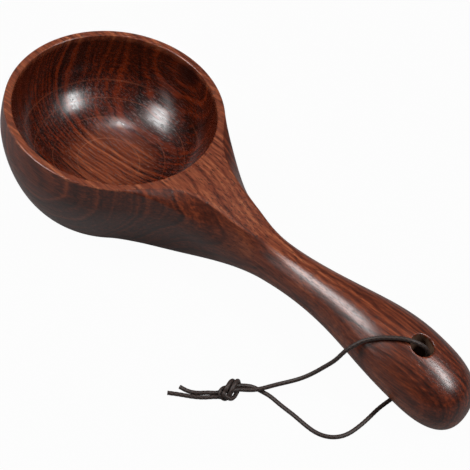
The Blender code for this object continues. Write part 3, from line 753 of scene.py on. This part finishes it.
def lacquered_rosewood():
    """Lacquered rosewood, turned and carved, then stained, sealed and polished.

    Growth layers stand nearly upright and run along the handle, so they show as long streaks on the handle
    and as soft bands on the bowl's walls. Open pores are short dark dashes along the grain. The turned inside
    is glossier than the carved outside, and has faint rings from the turning. The wall of the drilled hole is
    bare and dull.
    """
    material, tree = new_material("lacquered_rosewood")
    place = add(tree, "ShaderNodeTexCoord").outputs["Object"]
    level = {"Location": REST_PLACE, "Rotation": (0, REST_PITCH, 0), "Scale": (0.001, 0.001, 0.001)}
    mm = add(tree, "ShaderNodeMapping", {"Vector": place, **level}, vector_type="TEXTURE")
    split = add(tree, "ShaderNodeSeparateXYZ", {"Vector": mm}).outputs
    marks = ("sanded_and_lit", "turned", "bare")
    marks = [add(tree, "ShaderNodeAttribute", attribute_name=mark).outputs["Fac"] for mark in marks]
    sanded_and_lit, turned, bare = marks
    pattern = {}
    for name, (lengths, detail) in WOOD_PATTERNS.items():
        scale = tuple(1 / length for length in lengths)
        at = add(tree, "ShaderNodeMapping", {"Vector": mm, "Scale": scale})
        pattern[name] = add(tree, "ShaderNodeTexNoise", {"Vector": at, "Scale": 1, "Detail": detail})

    # Nearly upright growth layers, swaying along the ladle by millimetres, each of an uneven width
    layer = split["Y"]
    strays = ((split["Z"], LAYER_LEAN), (pattern["bow"], BOW_MM), (pattern["sway"], SWAY_MM))
    for value, share in strays:
        layer = add(tree, "ShaderNodeMath", {0: value, 1: share, 2: layer}, operation="MULTIPLY_ADD")
    uneven = {"W": layer, "Scale": 1 / LAYER_MM, "Detail": 2}
    pattern["layers"] = add(tree, "ShaderNodeTexNoise", uneven, noise_dimensions="1D")
    turn = add(tree, "ShaderNodeMath", {0: layer, 1: math.tau / LATE_WOOD_MM}, operation="MULTIPLY")
    pattern["late_wood"] = add(tree, "ShaderNodeMath", {0: turn}, operation="SINE")
    grain = GRAIN_BASE
    for name, share in GRAIN_SHARES.items():
        grain = {0: pattern[name], 1: share, 2: grain}
        grain = add(tree, "ShaderNodeMath", grain, operation="MULTIPLY_ADD")
    stain_ramps_shaded_and_lit = []
    for stops in (DEEP_STAIN_AND_SHADE, PALE_STAIN_AND_LIT):
        stain_ramps_shaded_and_lit.append(add(tree, "ShaderNodeValToRGB", {"Fac": grain}))
        ramp = stain_ramps_shaded_and_lit[-1].color_ramp.elements
        middle = [ramp.new(position) for position, _ in stops[1:-1]]
        for stop, (position, code) in zip([ramp[0], *middle, ramp[-1]], stops):
            stop.position = position
            stop.color = linear(code)

    # Turning rings: narrow pale lines at their distances from the bowl's axis, worn away in places
    flat = add(tree, "ShaderNodeVectorMath", {0: mm, 1: (1, 1, 0)}, operation="MULTIPLY")
    radius = add(tree, "ShaderNodeVectorMath", {0: flat}, operation="LENGTH").outputs["Value"]
    rings = 0
    for ring in RING_RADII_MM:
        near = {0: radius, 1: ring, 2: RING_HALF_WIDTH_MM}
        near = add(tree, "ShaderNodeMath", near, operation="COMPARE")
        rings = add(tree, "ShaderNodeMath", {0: near, 1: rings}, operation="MAXIMUM")
    kept = {"Value": pattern["wear"], "From Min": 0.25, "From Max": 0.7, "To Max": 0.33}
    kept = add(tree, "ShaderNodeMapRange", kept)
    for share in (turned, kept):
        rings = add(tree, "ShaderNodeMath", {0: rings, 1: share}, operation="MULTIPLY")
    line = {"Factor": sanded_and_lit, 6: linear("#8A4B34"), 7: linear("#B5714C")}
    line = add(tree, "ShaderNodeMix", line, data_type="RGBA").outputs[2]

    # Pores are under 0.3 mm wide in life, and are drawn about twice as wide so that they show
    pores = {"Value": pattern["pores"], "From Min": 0.57, "From Max": 0.66}
    pores = add(tree, "ShaderNodeMapRange", pores)
    open_share = add(tree, "ShaderNodeMath", {0: sanded_and_lit, 1: 0.55, 2: 0.25}, operation="MULTIPLY_ADD")
    dark = add(tree, "ShaderNodeMath", {0: pores, 1: open_share}, operation="MULTIPLY")

    # The coats of colour, each over the last: stain, sanded stain that also paints light on the tops and
    # leaves painted shade inside the bowl and on the sides, turning rings, pores and bare wood
    colour = stain_ramps_shaded_and_lit[0].outputs[0]
    coats = ((sanded_and_lit, stain_ramps_shaded_and_lit[1]), (rings, line), (dark, linear("#1A0805")), (bare, linear("#5E4330")))
    for share, coat in coats:
        coat = {"Factor": share, 6: colour, 7: coat}
        colour = add(tree, "ShaderNodeMix", coat, data_type="RGBA").outputs[2]

    relief = {"Height": pores, "Distance": PORE_DEPTH, "Strength": 0.35}
    relief = add(tree, "ShaderNodeBump", relief, invert=True)
    polish = {0: turned, 1: TURNED_ROUGHNESS - CARVED_ROUGHNESS, 2: CARVED_ROUGHNESS}
    polish = add(tree, "ShaderNodeMath", polish, operation="MULTIPLY_ADD")
    gloss = {"Value": pores, "To Min": polish, "To Max": PORE_ROUGHNESS}
    gloss = add(tree, "ShaderNodeMapRange", gloss)
    gloss = add(tree, "ShaderNodeMath", {0: gloss, 1: bare}, operation="MAXIMUM")
    surface = {"Base Color": colour, "Roughness": gloss, "Normal": relief, "IOR": 1.5}
    lacquer = {"Coat Weight": 0.1, "Coat Roughness": 0.2, "Coat IOR": 1.5}
    shader = add(tree, "ShaderNodeBsdfPrincipled", {**surface, **lacquer})
    add(tree, "ShaderNodeOutputMaterial", {"Surface": shader})
    return material


def waxed_cotton():
    """Waxed plaited cotton, dyed dark brown: dull, with the strands' crowns worn paler and some wax shine."""
    material, tree = new_material("waxed_cotton")
    ridge = add(tree, "ShaderNodeAttribute", attribute_name="ridge").outputs["Fac"]
    place = add(tree, "ShaderNodeTexCoord").outputs["Object"]

    # Fibres are about 0.02 mm thick in life, and are drawn as tufts of 0.7 mm so that they show
    tufts = add(tree, "ShaderNodeMapping", {"Vector": place, "Scale": (1 / TUFT_LENGTH,) * 3})
    fibre = add(tree, "ShaderNodeTexNoise", {"Vector": tufts, "Scale": 1, "Detail": 2})
    worn = add(tree, "ShaderNodeMath", {0: fibre, 1: 0.9, 2: ridge}, operation="MULTIPLY_ADD")
    worn = add(tree, "ShaderNodeMapRange", {"Value": worn, "From Min": 0.3, "From Max": 1.6})
    tones = {"Factor": worn, 6: linear("#140B08"), 7: linear("#3A271F")}
    colour = add(tree, "ShaderNodeMix", tones, data_type="RGBA").outputs[2]
    relief = add(tree, "ShaderNodeBump", {"Height": fibre, "Distance": FIBRE_DEPTH, "Strength": 0.5})
    surface = {"Base Color": colour, "Roughness": 0.55, "Normal": relief, "Sheen Weight": 0.05}
    shader = add(tree, "ShaderNodeBsdfPrincipled", surface)
    add(tree, "ShaderNodeOutputMaterial", {"Surface": shader})
    return material


def white_floor():
    """A wide pale floor of matt card.

    The camera sees it nearly white, with the ladle's shadow left faint, and the lacquer shows a little of
    that white.
    """
    corners = np.array([(-1, -1, 0), (1, -1, 0), (1, 1, 0), (-1, 1, 0)]) * FLOOR_REACH - (0, 0, FLOOR_DROP)
    mesh = bpy.data.meshes.new("floor")
    mesh.from_pydata(corners.tolist(), [], [(0, 1, 2, 3)])
    floor = bpy.data.objects.new("floor", mesh)
    bpy.context.scene.collection.objects.link(floor)
    material, tree = new_material("matt_white_card")
    ray = add(tree, "ShaderNodeLightPath").outputs
    direct = {0: ray["Is Camera Ray"], 1: ray["Is Transmission Ray"]}
    direct = add(tree, "ShaderNodeMath", direct, operation="MAXIMUM")
    mirrored = add(tree, "ShaderNodeMath", {0: ray["Is Glossy Ray"], 1: 0.06}, operation="MULTIPLY")
    seen = add(tree, "ShaderNodeMath", {0: direct, 1: 0.97, 2: mirrored}, operation="MULTIPLY_ADD")
    card = add(tree, "ShaderNodeBsdfDiffuse", {"Color": linear("#808080")})
    white = add(tree, "ShaderNodeEmission", {"Color": (1, 1, 1, 1), "Strength": 1.0})
    both = add(tree, "ShaderNodeMixShader", {0: seen, 1: card, 2: white})
    add(tree, "ShaderNodeOutputMaterial", {"Surface": both})
    mesh.materials.append(material)


def softbox(name, azimuth, elevation, width, height, energy, lean=0, aim=(0, 0, 0), distance=1.2, spread=180):
    """A rectangular lamp that faces a place from a direction, turned about it, with its light kept in a cone.

    All angles are in degrees.
    """
    lamp = bpy.data.lights.new(name, "AREA")
    lamp.shape = "RECTANGLE"
    lamp.size = width
    lamp.size_y = height
    lamp.energy = energy
    lamp.spread = math.radians(spread)
    item = bpy.data.objects.new(name, lamp)
    a, e = math.radians(azimuth), math.radians(elevation)
    out = Vector((math.cos(e) * math.cos(a), math.cos(e) * math.sin(a), math.sin(e)))
    turn = out.to_track_quat("Z", "Y").to_matrix() @ Matrix.Rotation(math.radians(lean), 3, "Z")
    item.matrix_world = Matrix.Translation(Vector(aim) + out * distance) @ turn.to_4x4()
    bpy.context.scene.collection.objects.link(item)


def studio():
    """Soft studio light: a dim room, two softboxes, a low strip on the left and a small light on the bowl."""
    world = bpy.data.worlds.new("studio")
    bpy.context.scene.world = world
    world.use_nodes = True
    tree = world.node_tree
    tree.nodes.clear()
    room = add(tree, "ShaderNodeBackground", {"Color": (1, 1, 1, 1), "Strength": 0.07})
    add(tree, "ShaderNodeOutputWorld", {"Surface": room})
    softbox("softbox_right", 23, 52, 0.22, 0.60, 10.5, -38)
    softbox("softbox_left", -137, 55, 0.30, 0.58, 10.5, 52)
    softbox("strip_left", -117, 27, 0.18, 0.80, 1.2, 40)
    softbox("bowl_light", 130, 79, 0.02, 0.02, 0.005, aim=BOWL_LIGHT_AIM, distance=0.5, spread=25)


def photo_camera():
    """Camera at the photo's angle: looking along its heading, rolled about it."""
    camera = bpy.data.cameras.new("camera")
    camera.lens = CAMERA_LENS
    camera.sensor_width = 36
    item = bpy.data.objects.new("camera", camera)
    heading = Vector(CAMERA_HEADING).normalized()
    level = heading.cross(Vector((0, 0, 1))).normalized()
    right = level * math.cos(CAMERA_ROLL) + level.cross(heading) * math.sin(CAMERA_ROLL)
    turn = Matrix((right, right.cross(heading), -heading)).transposed().to_4x4()
    item.matrix_world = Matrix.Translation(CAMERA_PLACE) @ turn
    bpy.context.scene.collection.objects.link(item)
    bpy.context.scene.camera = item


def dress_ladle():
    """The wooden skin in place of its plain solid."""
    ladle = wooden_ladle()
    ladle.data.materials.append(lacquered_rosewood())
    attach(ladle, "ladle")
    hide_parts("ladle_body")


def dress_cord():
    """The cord as two plaited halves that meet in the hole, each through the knot to its own tail."""
    material = waxed_cotton()
    lower_run, upper_run = knot_runs()
    apart = np.array([0, 0, CORD_GAP / 2])
    upper = [MEETING_PLACE + apart, *UPPER_ROUTE[::-1], *upper_run, *LONG_TAIL_ROUTE]
    lower = [MEETING_PLACE - apart, *LOWER_ROUTE, *lower_run, *SHORT_TAIL_ROUTE]
    halves = {
        "cord_upper_half": (upper, ("cord_upper_strand", "cord_knot", "cord_tail_long")),
        "cord_lower_half": (lower, ("cord_lower_strand", "cord_tail_short")),
    }
    for name, (route, nodes) in halves.items():
        piece, path = plaited_cord(name, route)
        piece.data.materials.append(material)
        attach(piece, "cord")
        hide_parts(*nodes)


photo_camera()
dress_cord()
dress_ladle()
white_floor()
studio()
bpy.context.scene.view_settings.view_transform = "Standard"
